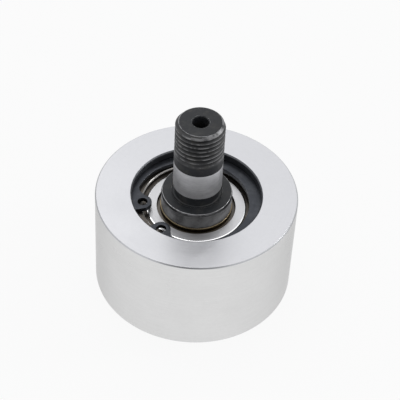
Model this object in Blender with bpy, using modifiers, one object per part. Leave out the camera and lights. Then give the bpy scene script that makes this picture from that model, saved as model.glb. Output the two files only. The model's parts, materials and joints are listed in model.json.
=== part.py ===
"""Stud-type cam follower: a thick steel roller that turns on two shielded ball bearings round a threaded stud.

Units are metres and +Z runs along the stud. The origin is the centre of the roller's lower face.
"""

import math

import bmesh
import bpy
from mathutils import Matrix, Vector

# Roller
ROLLER_RADIUS = 0.025
ROLLER_WIDTH = 0.0275
ROLLER_EDGE = 0.0003  # chamfer on the rolling face's two rims
BORE_RADIUS = 0.016
BORE_EDGE = 0.00035

# Bearings, 15 x 32 x 9 mm
BEARING_WIDTH = 0.009
BEARING_BORE_RADIUS = 0.0075
BEARING_DEPTH = 0.0035  # from the roller's face to the nearer bearing's face
BALL_RADIUS = 0.002381
BALL_PITCH_RADIUS = 0.01175
BALLS = 9
RACE_CLEARANCE = 0.0001  # between a ball and the bottom of its raceway
RACEWAY_RADIUS = 0.0025  # of the raceway's cross-section
OUTER_LAND_RADIUS = 0.0131
INNER_LAND_RADIUS = 0.01025
INNER_FACE_RADIUS = 0.0089
INNER_NOTCH_DEPTH = 0.0014
LIP_RADIUS = 0.0134
LIP_EDGE = 0.0003
LIP_DEPTH = 0.00085
SHIELD_SLOT_RADIUS = 0.014
SHIELD_SLOT_WIDTH = 0.0006
SHIELD_THICKNESS = 0.00025
SHIELD_DEPTH = 0.00075  # from the bearing's face to the shield's flat
SHIELD_STEP = 0.00025  # from the shield's flat down to its crimped rim
SHIELD_INNER_RADIUS = 0.00975
SHIELD_FLAT_RADIUS = 0.0123
SHIELD_RIM_RADIUS = 0.01245
SHIELD_OUTER_RADIUS = 0.01385
CAGE_INNER_RADIUS = 0.01065
CAGE_OUTER_RADIUS = 0.01285
CAGE_BACK = 0.00285  # from the ball circle to the cage's closed side
CAGE_FRONT = 0.0013  # from the ball circle to the prongs' tips
POCKET_RADIUS = 0.0026

# Retaining rings
RING_GAP = 0.0001  # round a retaining ring in its groove
ROLLER_RING_THICKNESS = 0.0012
ROLLER_RING_GROOVE_RADIUS = 0.01685
STUD_RING_THICKNESS = 0.001
STUD_RING_GROOVE_RADIUS = 0.00715
ROLLER_RING_GAP_ANGLE = math.radians(-150)
STUD_RING_GAP_ANGLE = math.radians(90)
LUG_NOSE_SWEEP = math.radians(147)  # how far the nose of a lug turns before it runs into the ring
LUG_FILLET_CORNER = math.radians(15)  # past the lug's middle, where the nose and the ring would meet
LUG_FILLET_END = math.radians(24)  # past the lug's middle, where the ring's own edge begins

# Stud
STUD_TOP = 0.0511
STUD_FOOT = 0.0012
STUD_RADIUS = 0.006
SHOULDER_RADIUS = 0.00875
SHOULDER_TOP = ROLLER_WIDTH + 0.0011
SHOULDER_CHAMFER = (0.0002, 0.0007)  # radial, axial
UNDERCUT_RADIUS = 0.00555
UNDERCUT_TOP = 0.0313
UNDERCUT_RAMP = 0.0003
SEAT_RADIUS = 0.0063  # where the shoulder's flat seat begins
SEAT_RELIEF = 0.00015
THREAD_PITCH = 0.00125
THREAD_ROOT_RADIUS = 0.005233
THREAD_START = 0.0419875
THREAD_START_ANGLE = math.radians(180)
THREAD_TURNS = 8
FLANK_ANGLE = math.radians(30)
THREAD_MOUTH_HALF = 0.0006  # half the width of the thread's cutter, outside the stud
THREAD_MOUTH_GAP = 0.0003  # how far that cutter stands outside the stud
DRILL_POINT_ANGLE = math.radians(59)  # between the axis and the end hole's conical bottom
END_CHAMFER = (0.00085, 0.0008)  # radial, axial
END_HOLE_RADIUS = 0.002
END_HOLE_DEPTH = 0.008
END_HOLE_COUNTERSINK = 0.0002
FOOT_CHAMFER = 0.0005
SOCKET_FLATS = 0.006
SOCKET_DEPTH = 0.005

# Fits and facets
SEAT_GAP = 0.00005  # between pieces that are pressed together or clamped
SEGMENTS = 32
ROLLER_SEGMENTS = 64
ARC_POINTS = 5
BALL_SEGMENTS = 12
BALL_RINGS = 8

LOWER_BEARING_Z = BEARING_DEPTH + BEARING_WIDTH / 2
UPPER_BEARING_Z = ROLLER_WIDTH - LOWER_BEARING_Z


# Scene helpers

def clear_scene():
    for obj in list(bpy.data.objects):
        bpy.data.objects.remove(obj)


def new_collection(name):
    collection = bpy.data.collections.new(name)
    bpy.context.scene.collection.children.link(collection)
    return collection


def new_material(name, color, roughness, metallic=1.0):
    material = bpy.data.materials.new(name)
    material.use_nodes = True
    shader = material.node_tree.nodes["Principled BSDF"]
    shader.inputs["Base Color"].default_value = (*color, 1.0)
    shader.inputs["Roughness"].default_value = roughness
    shader.inputs["Metallic"].default_value = metallic
    return material


def new_empty(name, location=(0.0, 0.0, 0.0)):
    empty = bpy.data.objects.new(name, None)
    empty.location = location
    PARTS.objects.link(empty)
    return empty


def new_part(name, data, parent, material):
    """A named piece of the follower, riding on the empty of the group that it moves with."""
    part = bpy.data.objects.new(name, data)
    if not data.materials:
        data.materials.append(material)
    part.parent = parent
    PARTS.objects.link(part)
    return part


def new_cutter(name, mesh):
    cutter = bpy.data.objects.new(name, mesh)
    cutter.hide_render = True
    cutter.display_type = "WIRE"
    CUTTERS.objects.link(cutter)
    return cutter


def cut(part, cutter):
    boolean = part.modifiers.new(cutter.name, "BOOLEAN")
    boolean.operation = "DIFFERENCE"
    boolean.solver = "EXACT"
    boolean.object = cutter


def bake(part):
    """Applies the modifiers, then shades the round faces smooth and keeps the corners sharp."""
    bpy.context.view_layer.update()
    graph = bpy.context.evaluated_depsgraph_get()
    mesh = bpy.data.meshes.new_from_object(part.evaluated_get(graph))
    mesh.name = part.name
    part.modifiers.clear()
    part.data = mesh
    mesh.shade_smooth()
    mesh.set_sharp_from_angle(angle=math.radians(30))


# Shapes

def arc(centre, radius, start, end, points):
    """Points on an arc in a plane, from the start angle to the end angle, both included."""
    found = []
    for i in range(points):
        angle = start + (end - start) * i / (points - 1)
        found.append((centre[0] + radius * math.cos(angle), centre[1] + radius * math.sin(angle)))
    return found


def mirrored(profile):
    """The same profile upside down, in the order that continues it."""
    return [(radius, -height) for radius, height in reversed(profile)]


def turned(name, profile, segments, parent, material, closed=True):
    """A turned piece. Its profile of (radius, height) runs down the outer side, and back up the bore if closed."""
    mesh = bpy.data.meshes.new(name)
    corners = [(radius, 0.0, height) for radius, height in profile]
    edges = [(i, i + 1) for i in range(len(corners) - 1)]
    if closed:
        edges.append((len(corners) - 1, 0))
    mesh.from_pydata(corners, edges, [])
    part = new_part(name, mesh, parent, material)
    screw = part.modifiers.new("turn", "SCREW")
    screw.axis = "Z"
    screw.steps = segments
    screw.render_steps = segments
    screw.use_merge_vertices = True
    screw.merge_threshold = 1e-6
    return part


def raised(profile, height):
    return [(radius, z + height) for radius, z in profile]


# Roller and spacers

def make_roller(parent):
    groove_low = BEARING_DEPTH
    groove_high = groove_low - ROLLER_RING_THICKNESS - 2 * RING_GAP
    half = ROLLER_WIDTH / 2
    lower = [
        (ROLLER_RADIUS, -half + ROLLER_EDGE),
        (ROLLER_RADIUS - ROLLER_EDGE, -half),
        (BORE_RADIUS + BORE_EDGE, -half),
        (BORE_RADIUS, -half + BORE_EDGE),
        (BORE_RADIUS, -half + groove_high),
        (ROLLER_RING_GROOVE_RADIUS, -half + groove_high),
        (ROLLER_RING_GROOVE_RADIUS, -half + groove_low),
        (BORE_RADIUS, -half + groove_low),
    ]
    profile = raised(lower + mirrored(lower), half)
    bake(turned("roller", profile, ROLLER_SEGMENTS, parent, STEEL))


def make_spacer(name, inner_radius, outer_radius, parent):
    """A plain sleeve that fills the space between the two bearings."""
    half = ROLLER_WIDTH / 2 - BEARING_DEPTH - BEARING_WIDTH - SEAT_GAP
    profile = [(outer_radius, half), (outer_radius, -half), (inner_radius, -half), (inner_radius, half)]
    bake(turned(name, raised(profile, ROLLER_WIDTH / 2), SEGMENTS, parent, SPACER_STEEL))


# Bearings

def raceway(bottom_radius, land_radius, outward):
    """The groove that the balls run in, as an arc from one land to the other, upwards if it faces the axis."""
    sign = 1 if outward else -1
    centre = bottom_radius - sign * RACEWAY_RADIUS
    reach = math.acos(abs(land_radius - centre) / RACEWAY_RADIUS)
    if outward:
        return arc((centre, 0.0), RACEWAY_RADIUS, -reach, reach, ARC_POINTS)
    return arc((centre, 0.0), RACEWAY_RADIUS, math.pi - reach, math.pi + reach, ARC_POINTS)


def make_outer_race(name, height, parent):
    half = BEARING_WIDTH / 2
    outer = BORE_RADIUS - SEAT_GAP
    slot_top = -half + LIP_DEPTH + SHIELD_SLOT_WIDTH
    lip = [
        (LIP_RADIUS + LIP_EDGE, -half),
        (LIP_RADIUS, -half + LIP_EDGE),
        (LIP_RADIUS, -half + LIP_DEPTH),
        (SHIELD_SLOT_RADIUS, -half + LIP_DEPTH),
        (SHIELD_SLOT_RADIUS, slot_top),
        (OUTER_LAND_RADIUS, slot_top),
    ]
    race_bottom = BALL_PITCH_RADIUS + BALL_RADIUS + RACE_CLEARANCE
    groove = raceway(race_bottom, OUTER_LAND_RADIUS, outward=True)
    profile = [(outer, half), (outer, -half)] + lip + groove + mirrored(lip)
    bake(turned(name, raised(profile, height), SEGMENTS, parent, RACE_STEEL))


def make_inner_race(name, height, parent):
    half = BEARING_WIDTH / 2
    notch = [
        (INNER_FACE_RADIUS, half),
        (INNER_FACE_RADIUS, half - INNER_NOTCH_DEPTH),
        (INNER_LAND_RADIUS, half - INNER_NOTCH_DEPTH),
    ]
    race_bottom = BALL_PITCH_RADIUS - BALL_RADIUS - RACE_CLEARANCE
    groove = raceway(race_bottom, INNER_LAND_RADIUS, outward=False)
    bore = [(BEARING_BORE_RADIUS, -half), (BEARING_BORE_RADIUS, half)]
    profile = notch + groove + mirrored(notch) + bore
    bake(turned(name, raised(profile, height), SEGMENTS, parent, RACE_STEEL))


def make_shield(name, height, side, parent):
    """A pressed shield in the outer race's slot, on the bearing's upper side (1) or its lower side (-1)."""
    flat = BEARING_WIDTH / 2 - SHIELD_DEPTH
    rim = flat - SHIELD_STEP
    profile = [
        (SHIELD_INNER_RADIUS, flat),
        (SHIELD_FLAT_RADIUS, flat),
        (SHIELD_RIM_RADIUS, rim),
        (SHIELD_OUTER_RADIUS, rim),
        (SHIELD_OUTER_RADIUS, rim - SHIELD_THICKNESS),
        (SHIELD_RIM_RADIUS - SHIELD_STEP, rim - SHIELD_THICKNESS),
        (SHIELD_FLAT_RADIUS - SHIELD_STEP, flat - SHIELD_THICKNESS),
        (SHIELD_INNER_RADIUS, flat - SHIELD_THICKNESS),
    ]
    if side < 0:
        profile = mirrored(profile)
    bake(turned(name, raised(profile, height), SEGMENTS, parent, SHIELD_STEEL))


def ball_centres():
    for i in range(BALLS):
        angle = 2 * math.pi * i / BALLS
        yield Vector((BALL_PITCH_RADIUS * math.cos(angle), BALL_PITCH_RADIUS * math.sin(angle), 0.0))


def make_cage(name, side, parent):
    """A one-piece snap cage. Its closed side faces up (1) or down (-1), and its prongs hold the balls."""
    profile = [
        (CAGE_OUTER_RADIUS, CAGE_BACK),
        (CAGE_OUTER_RADIUS, -CAGE_FRONT),
        (CAGE_INNER_RADIUS, -CAGE_FRONT),
        (CAGE_INNER_RADIUS, CAGE_BACK),
    ]
    if side < 0:
        profile = mirrored(profile)
    cage = turned(name, profile, SEGMENTS, parent, CAGE_POLYMER)
    pockets = bmesh.new()
    for centre in ball_centres():
        bmesh.ops.create_uvsphere(
            pockets,
            u_segments=BALL_SEGMENTS,
            v_segments=BALL_RINGS,
            radius=POCKET_RADIUS,
            matrix=Matrix.Translation(centre),
        )
    mesh = bpy.data.meshes.new(name + "_pockets")
    pockets.to_mesh(mesh)
    pockets.free()
    cutter = new_cutter(name + "_pockets", mesh)
    cutter.parent = parent
    cut(cage, cutter)
    bake(cage)


def new_ball_mesh():
    ball = bmesh.new()
    bmesh.ops.create_uvsphere(ball, u_segments=BALL_SEGMENTS, v_segments=BALL_RINGS, radius=BALL_RADIUS)
    mesh = bpy.data.meshes.new("ball")
    ball.to_mesh(mesh)
    ball.free()
    mesh.shade_smooth()
    return mesh


def make_bearing(prefix, height, outside, fixed, turning, ball_mesh):
    """One bearing. Its outer side faces up if outside is 1 and down if outside is -1."""
    make_outer_race(prefix + "_outer_race", height, turning)
    make_inner_race(prefix + "_inner_race", height, fixed)
    make_shield(prefix + "_outer_shield", height, outside, turning)
    make_shield(prefix + "_inner_shield", height, -outside, turning)
    cage_group = new_empty(prefix + "_cage_group", (0.0, 0.0, height))
    make_cage(prefix + "_cage", outside, cage_group)
    for i, centre in enumerate(ball_centres(), start=1):
        ball = new_part(f"{prefix}_ball_{i}", ball_mesh, cage_group, BALL_STEEL)
        ball.location = centre


# Retaining rings

def polar(radius, angle):
    return (radius * math.cos(angle), radius * math.sin(angle))


def blend(start, control, end, points):
    """The inner points of a quadratic curve, without its two ends."""
    found = []
    for i in range(1, points + 1):
        t = i / (points + 1)
        weights = ((1 - t) ** 2, 2 * t * (1 - t), t**2)
        found.append(
            tuple(weights[0] * a + weights[1] * b + weights[2] * c for a, b, c in zip(start, control, end))
        )
    return found


def add_loop(curve, points):
    spline = curve.splines.new("POLY")
    spline.points.add(len(points) - 1)
    for target, (x, y) in zip(spline.points, points):
        target.co = (x, y, 0.0, 1.0)
    spline.use_cyclic_u = True


def make_retaining_ring(name, seat, free, offset, lug, inward, thickness, height, gap_angle, parent):
    """A tapered retaining ring with two drilled lugs, its gap on local +X.

    seat is the radius of the edge in the groove. free is the radius of the other edge, whose centre lies offset
    towards the gap. lug holds the lug nose's radius from the axis, its angle from the gap's middle, the nose's own
    radius and the hole's radius.
    """
    lug_distance, lug_angle, nose_radius, hole_radius = lug
    gap_half = lug_angle - math.asin(nose_radius / lug_distance)
    turn = -1 if inward else 1
    nose_start = gap_half - math.pi / 2
    nose_end = nose_start + turn * LUG_NOSE_SWEEP
    nose = arc(polar(lug_distance, lug_angle), nose_radius, nose_start, nose_end, 8)
    blend_angle = lug_angle + LUG_FILLET_END
    free_edge = arc((offset, 0.0), free, blend_angle, math.pi, 12)
    corner_angle = lug_angle + LUG_FILLET_CORNER
    corner = polar(free + offset * math.cos(corner_angle), corner_angle)
    free_side = nose + blend(nose[-1], corner, free_edge[0], 2) + free_edge
    seat_side = arc((0.0, 0.0), seat, gap_half, math.pi, 18)
    outline = seat_side
    outline += [(x, -y) for x, y in reversed(seat_side[:-1])]
    outline += [(x, -y) for x, y in free_side]
    outline += list(reversed(free_side[:-1]))

    curve = bpy.data.curves.new(name, "CURVE")
    curve.dimensions = "2D"
    curve.fill_mode = "BOTH"
    curve.extrude = thickness / 2
    add_loop(curve, outline)
    for side in (1, -1):
        centre = polar(lug_distance, side * lug_angle)
        add_loop(curve, arc(centre, hole_radius, 0.0, 2 * math.pi * 9 / 10, 10))
    ring = new_part(name, curve, parent, RING_STEEL)
    ring.location = (0.0, 0.0, height)
    ring.rotation_euler = (0.0, 0.0, gap_angle)


def make_roller_ring(name, height, parent):
    make_retaining_ring(
        name,
        seat=ROLLER_RING_GROOVE_RADIUS - RING_GAP,
        free=0.01398,
        offset=0.00101,
        lug=(0.01335, math.radians(22.5), 0.0023, 0.00125),
        inward=True,
        thickness=ROLLER_RING_THICKNESS,
        height=height,
        gap_angle=ROLLER_RING_GAP_ANGLE,
        parent=parent,
    )


def make_stud_ring(parent):
    make_retaining_ring(
        "stud_circlip",
        seat=STUD_RING_GROOVE_RADIUS + RING_GAP,
        free=0.0091,
        offset=-0.00035,
        lug=(0.00905, math.radians(25), 0.0017, 0.00085),
        inward=False,
        thickness=STUD_RING_THICKNESS,
        height=BEARING_DEPTH - RING_GAP - STUD_RING_THICKNESS / 2,
        gap_angle=STUD_RING_GAP_ANGLE,
        parent=parent,
    )


# Stud

def stud_profile():
    """From the bottom of the end hole, over the threaded end and down the outside to the middle of the foot."""
    drill_point = END_HOLE_RADIUS / math.tan(DRILL_POINT_ANGLE)
    journal = BEARING_BORE_RADIUS - SEAT_GAP
    shoulder_foot = ROLLER_WIDTH - BEARING_DEPTH + SEAT_GAP
    ring_seat = BEARING_DEPTH - SEAT_GAP
    ring_foot = BEARING_DEPTH - STUD_RING_THICKNESS - 2 * RING_GAP
    end_hole = [
        (0.0, STUD_TOP - END_HOLE_DEPTH - drill_point),
        (END_HOLE_RADIUS, STUD_TOP - END_HOLE_DEPTH),
        (END_HOLE_RADIUS, STUD_TOP - END_HOLE_COUNTERSINK),
        (END_HOLE_RADIUS + END_HOLE_COUNTERSINK, STUD_TOP),
    ]
    shank = [
        (STUD_RADIUS - END_CHAMFER[0], STUD_TOP),
        (STUD_RADIUS, STUD_TOP - END_CHAMFER[1]),
        (STUD_RADIUS, UNDERCUT_TOP),
        (UNDERCUT_RADIUS, UNDERCUT_TOP - UNDERCUT_RAMP),
        (UNDERCUT_RADIUS, SHOULDER_TOP),
        (UNDERCUT_RADIUS + UNDERCUT_RAMP, SHOULDER_TOP - SEAT_RELIEF),
        (SEAT_RADIUS - SEAT_RELIEF, SHOULDER_TOP - SEAT_RELIEF),
    ]
    shoulder = [
        (SEAT_RADIUS, SHOULDER_TOP),
        (SHOULDER_RADIUS - SHOULDER_CHAMFER[0], SHOULDER_TOP),
        (SHOULDER_RADIUS, SHOULDER_TOP - SHOULDER_CHAMFER[1]),
        (SHOULDER_RADIUS, shoulder_foot),
    ]
    foot = [
        (journal, shoulder_foot),
        (journal, ring_seat),
        (STUD_RING_GROOVE_RADIUS, ring_seat),
        (STUD_RING_GROOVE_RADIUS, ring_foot),
        (journal, ring_foot),
        (journal, STUD_FOOT + FOOT_CHAMFER),
        (journal - FOOT_CHAMFER, STUD_FOOT),
        (0.0, STUD_FOOT),
    ]
    return end_hole + shank + shoulder + foot


def thread_groove_mesh():
    """The helical groove between a right-hand thread's flanks, wider than the thread at its mouth."""
    depth = STUD_RADIUS - THREAD_ROOT_RADIUS
    root_half = THREAD_PITCH / 12
    crest_half = root_half + depth * math.tan(FLANK_ANGLE)
    mouth_radius = STUD_RADIUS + THREAD_MOUTH_GAP
    section = [
        (THREAD_ROOT_RADIUS, -root_half),
        (STUD_RADIUS, -crest_half),
        (mouth_radius, -THREAD_MOUTH_HALF),
        (mouth_radius, THREAD_MOUTH_HALF),
        (STUD_RADIUS, crest_half),
        (THREAD_ROOT_RADIUS, root_half),
    ]
    groove = bmesh.new()
    corners = [groove.verts.new((radius, 0.0, height)) for radius, height in section]
    start = groove.faces.new(corners)
    bmesh.ops.spin(
        groove,
        geom=[start],
        cent=(0.0, 0.0, 0.0),
        axis=(0.0, 0.0, 1.0),
        dvec=(0.0, 0.0, THREAD_PITCH / SEGMENTS),
        angle=2 * math.pi * THREAD_TURNS,
        steps=SEGMENTS * THREAD_TURNS,
    )
    bmesh.ops.recalc_face_normals(groove, faces=groove.faces)
    mesh = bpy.data.meshes.new("thread_groove")
    groove.to_mesh(mesh)
    groove.free()
    return mesh


def socket_mesh():
    """A hexagonal prism that cuts the socket for the key in the stud's foot."""
    prism = bmesh.new()
    radius = SOCKET_FLATS / math.sqrt(3)
    bmesh.ops.create_cone(
        prism, cap_ends=True, segments=6, radius1=radius, radius2=radius, depth=2 * SOCKET_DEPTH
    )
    mesh = bpy.data.meshes.new("key_socket")
    prism.to_mesh(mesh)
    prism.free()
    return mesh


def make_stud(parent):
    stud = turned("stud", stud_profile(), SEGMENTS, parent, BLACK_STEEL, closed=False)
    groove = new_cutter("thread_groove", thread_groove_mesh())
    groove.location = (0.0, 0.0, THREAD_START)
    groove.rotation_euler = (0.0, 0.0, THREAD_START_ANGLE)
    socket = new_cutter("key_socket", socket_mesh())
    socket.location = (0.0, 0.0, STUD_FOOT)
    cut(stud, groove)
    cut(stud, socket)
    bake(stud)


clear_scene()
PARTS = new_collection("cam_follower")
CUTTERS = new_collection("cutters")

STEEL = new_material("ground_steel", (0.60, 0.61, 0.63), 0.32)
RACE_STEEL = new_material("race_steel", (0.36, 0.34, 0.32), 0.25)
SPACER_STEEL = new_material("spacer_steel", (0.45, 0.45, 0.46), 0.4)
SHIELD_STEEL = new_material("shield_steel", (0.75, 0.75, 0.76), 0.3)
BALL_STEEL = new_material("ball_steel", (0.80, 0.80, 0.82), 0.08)
BLACK_STEEL = new_material("black_oxide_steel", (0.03, 0.03, 0.035), 0.4)
RING_STEEL = new_material("spring_steel", (0.06, 0.065, 0.075), 0.35)
CAGE_POLYMER = new_material("cage_polymer", (0.12, 0.11, 0.10), 0.5, metallic=0.0)

stud_group = new_empty("stud_group")
roller_group = new_empty("roller_group")
shared_ball = new_ball_mesh()

make_roller(roller_group)
make_stud(stud_group)
make_bearing("lower_bearing", LOWER_BEARING_Z, -1, stud_group, roller_group, shared_ball)
make_bearing("upper_bearing", UPPER_BEARING_Z, 1, stud_group, roller_group, shared_ball)
make_spacer("outer_spacer", LIP_RADIUS, BORE_RADIUS - SEAT_GAP, roller_group)
make_spacer("inner_spacer", BEARING_BORE_RADIUS, INNER_FACE_RADIUS, stud_group)

ring_height = BEARING_DEPTH - RING_GAP - ROLLER_RING_THICKNESS / 2
make_roller_ring("lower_circlip", ring_height, roller_group)
make_roller_ring("upper_circlip", ROLLER_WIDTH - ring_height, roller_group)
make_stud_ring(stud_group)
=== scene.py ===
"""The looks of a stud-type cam follower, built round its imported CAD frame.

Shapes are written in millimetres and made in metres, in the CAD's own frame: the origin is the centre
of the roller's lower face and +Z runs along the stud.
"""

import json
import math

import bmesh
import bpy
from mathutils import Matrix, Vector


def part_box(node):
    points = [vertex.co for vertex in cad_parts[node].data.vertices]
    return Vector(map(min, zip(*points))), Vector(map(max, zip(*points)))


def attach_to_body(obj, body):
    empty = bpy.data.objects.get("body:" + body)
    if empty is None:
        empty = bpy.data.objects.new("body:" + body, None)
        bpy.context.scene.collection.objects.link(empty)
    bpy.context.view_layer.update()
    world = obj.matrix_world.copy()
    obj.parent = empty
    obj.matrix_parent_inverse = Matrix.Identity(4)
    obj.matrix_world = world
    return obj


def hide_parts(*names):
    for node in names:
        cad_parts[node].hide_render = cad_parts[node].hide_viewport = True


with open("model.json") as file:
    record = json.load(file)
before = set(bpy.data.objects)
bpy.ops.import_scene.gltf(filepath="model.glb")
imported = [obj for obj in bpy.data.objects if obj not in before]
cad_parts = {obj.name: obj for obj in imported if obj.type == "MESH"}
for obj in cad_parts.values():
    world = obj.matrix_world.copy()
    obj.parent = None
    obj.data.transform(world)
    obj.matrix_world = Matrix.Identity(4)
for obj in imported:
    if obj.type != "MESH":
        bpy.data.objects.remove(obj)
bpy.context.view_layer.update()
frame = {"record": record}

MM = 0.001
SEGMENTS = 192
ROLLER_SEGMENTS = 256
SPACER_SEGMENTS = 96
ROUNDING_STEPS = 4
SHARP_ANGLE = math.radians(35)
MERGE_DISTANCE = 1e-7  # metres, unlike the sizes below

# Roller
ROLLER_EDGE = 0.3
ROLLER_BORE_RADIUS = 16.0
BORE_CHAMFER = 0.35
RING_GROOVE_RADIUS = 16.85
RING_GROOVE = (2.1, 3.5)  # where the groove starts and ends, from the roller's end face

# Bearings
BEARING_HALF_WIDTH = 4.5
BEARING_BORE_RADIUS = 7.5
BEARING_OUTER_RADIUS = 15.95
BEARING_CHAMFER = 0.3
BALL_RADIUS = 2.381
BALL_PITCH_RADIUS = 11.75
BALLS = 9
BALL_CUTS = 11
RACE_CLEARANCE = 0.1
RACEWAY_RADIUS = 2.5
RACEWAY_POINTS = 17
OUTER_LAND_RADIUS = 13.1
OUTER_LIP_RADIUS = 13.4
INNER_LAND_RADIUS = 10.25
INNER_RIM_RADIUS = 8.9
SHIELD_DEPTH = 0.75
SHIELD_STEP = 0.25
SHIELD_THICKNESS = 0.25
SHIELD_INNER_RADIUS = 9.75
SHIELD_BEND_RADIUS = 12.1
SHIELD_RIM_RADIUS = 13.85
POCKET_RADIUS = 2.6
CAGE_OUTER_RADIUS = 12.85
CAGE_INNER_RADIUS = 10.65
CAGE_BACK = 2.85  # height of the closed side over the balls' centres
CAGE_FRONT = -1.3

# Retaining rings
RING_BEVEL = 0.09
ROLLER_RING_GAP_ANGLE = math.radians(-150)
STUD_RING_GAP_ANGLE = math.radians(90)
LUG_NOSE_SWEEP = math.radians(147)
LUG_FILLET_CORNER = math.radians(15)  # past the lug's angle
LUG_FILLET_END = math.radians(24)
LUG_HOLE_POINTS = 36

# Stud
STUD_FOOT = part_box("stud")[0].z / MM
STUD_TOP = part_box("stud")[1].z / MM
STUD_RADIUS = 6.0
SHOULDER_RADIUS = 8.75
SHOULDER_TOP = 28.6
SHOULDER_FOOT = 24.05
SEAT_RADIUS = 6.3  # inside it, the shoulder's face is sunk by the seat's depth
SEAT_DEPTH = 0.15
JOURNAL_RADIUS = 7.45
STUD_GROOVE_RADIUS = 7.15
STUD_GROOVE = (2.3, 3.45)
FOOT_CHAMFER = 0.5
UNDERCUT_RADIUS = 5.55
UNDERCUT_TOP = 31.3
BRIGHT_TOP = 38.8  # where the ground shank ends and the blackened thread end begins
THREAD_LOW = 41.3
THREAD_PITCH = 1.25
THREAD_ROOT_RADIUS = 5.233
THREAD_START = 41.9875  # height of the groove's middle where it starts
THREAD_START_ANGLE = math.pi
THREAD_RUN_IN = 0.4  # turns over which the groove reaches its full depth
# The grid stops just below the end face, where the chamfer is already smaller than the thread's root.
THREAD_HIGH = STUD_TOP - 0.075
END_CHAMFER = (0.85, 0.8)  # radial, axial
END_HOLE_RADIUS = 2.0
END_HOLE_DEPTH = 8.0
END_HOLE_CHAMFER = 0.2
DRILL_HALF_ANGLE = math.radians(59)
SOCKET_FLAT_RADIUS = 3.0
SOCKET_DEPTH = 5.0
SOCKET_CHAMFER = 0.25

# Studio
BACKDROP = 0.965
DARK_SPOT_ELEVATION = math.radians(46)


# Profiles

def arc(centre, radius, start, end, points):
    """Points on an arc in a plane, from the start angle to the end angle, both included."""
    found = []
    for i in range(points):
        angle = start + (end - start) * i / (points - 1)
        found.append((centre[0] + radius * math.cos(angle), centre[1] + radius * math.sin(angle)))
    return found


def polar(radius, angle):
    return (radius * math.cos(angle), radius * math.sin(angle))


def mirrored(corners):
    """The same corners upside down, in the order that continues them. Each face keeps its zone."""
    zones = [corner[3] for corner in corners]
    zones = zones[-2::-1] + zones[-1:]
    return [(r, -z, rounding, zone) for (r, z, rounding, _), zone in zip(reversed(corners), zones)]


def raised(corners, height):
    return [(r, z + height, rounding, zone) for r, z, rounding, zone in corners]


def rounded_corner(before, corner, after, rounding):
    """Points of the arc that rounds a corner, each with its edge value.

    The edge value is above 0 on a proud corner and below 0 in an inside corner.
    """
    to_before = Vector(before) - Vector(corner)
    to_after = Vector(after) - Vector(corner)
    room = 0.45 * min(to_before.length, to_after.length)
    to_before.normalize()
    to_after.normalize()
    half = to_before.angle(to_after) / 2
    reach = min(rounding / math.tan(half), room)
    radius = reach * math.tan(half)
    centre = Vector(corner) + (to_before + to_after).normalized() * (radius / math.sin(half))
    start = Vector(corner) + to_before * reach - centre
    turn = start.angle_signed(Vector(corner) + to_after * reach - centre)
    # Profiles run clockwise round the solid, so a proud corner turns right.
    side = 1 if to_before.cross(to_after) > 0 else -1
    points = []
    for i in range(ROUNDING_STEPS + 1):
        share = i / ROUNDING_STEPS
        spoke = start.copy()
        spoke.rotate(Matrix.Rotation(-turn * share, 2))
        points.append((*(centre + spoke), side * math.sin(math.pi * share)))
    return points


def rounded(corners, closed):
    """(radius, height, edge, zone) of each point, from corners (radius, height, rounding, zone)."""
    points = []
    count = len(corners)
    for i, (radius, height, rounding, zone) in enumerate(corners):
        at_end = not closed and i in (0, count - 1)
        if rounding == 0 or at_end:
            points.append((radius, height, 0.0, zone))
            continue
        before = corners[i - 1][:2]
        after = corners[(i + 1) % count][:2]
        for r, z, edge in rounded_corner(before, (radius, height), after, rounding):
            points.append((r, z, edge, zone))
    return points


# Mesh pieces

def attach(piece, node):
    """Makes a piece stand for a CAD node and ride on that node's body."""
    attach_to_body(piece, BODY_OF[node])
    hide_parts(node)


def new_piece(node, mesh, materials):
    for material in materials:
        mesh.materials.append(material)
    piece = bpy.data.objects.new("fine_" + node, mesh)
    bpy.context.scene.collection.objects.link(piece)
    mesh.shade_smooth()
    mesh.set_sharp_from_angle(angle=SHARP_ANGLE)
    weighted = piece.modifiers.new("flat faces stay flat", "WEIGHTED_NORMAL")
    weighted.keep_sharp = True
    weighted.weight = 60
    attach(piece, node)


def add_ring(bm, edge_layer, radius, height, edge, segments):
    """The vertices of one ring of a turned piece, or one vertex where it meets the axis."""
    if radius < 1e-6:
        vertices = [bm.verts.new((0.0, 0.0, height * MM))] * segments
    else:
        vertices = []
        for i in range(segments):
            x, y = polar(radius * MM, 2 * math.pi * i / segments)
            vertices.append(bm.verts.new((x, y, height * MM)))
    for vertex in vertices:
        vertex[edge_layer] = edge
    return vertices


def bridge(bm, upper, lower, zone):
    count = len(upper)
    for i in range(count):
        corners = (upper[i], lower[i], lower[(i + 1) % count], upper[(i + 1) % count])
        corners = list(dict.fromkeys(corners))
        if len(corners) > 2:
            face = bm.faces.new(corners)
            face.material_index = zone


def turned_bmesh(corners, closed=True, segments=SEGMENTS):
    """A turned solid. Its corners run down the outer side, and back up the bore if closed.

    A corner's zone is the material of the face that follows it. A face in zone None is left open.
    """
    bm = bmesh.new()
    edge_layer = bm.verts.layers.float.new("edge")
    points = rounded(corners, closed)
    rings = [add_ring(bm, edge_layer, r, z, edge, segments) for r, z, edge, _ in points]
    for i, (_, _, _, zone) in enumerate(points):
        if i + 1 == len(points) and not closed:
            break
        if zone is not None:
            bridge(bm, rings[i], rings[(i + 1) % len(rings)], zone)
    return bm


def to_mesh(bm, name):
    mesh = bpy.data.meshes.new(name)
    bm.to_mesh(mesh)
    bm.free()
    return mesh


def turned(node, corners, materials, segments=SEGMENTS):
    mesh = to_mesh(turned_bmesh(corners, segments=segments), node)
    new_piece(node, mesh, materials)


def middle(node):
    """Height of a CAD node's middle, in millimetres."""
    low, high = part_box(node)
    return (low.z + high.z) / 2 / MM


# Material nodes

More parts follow.
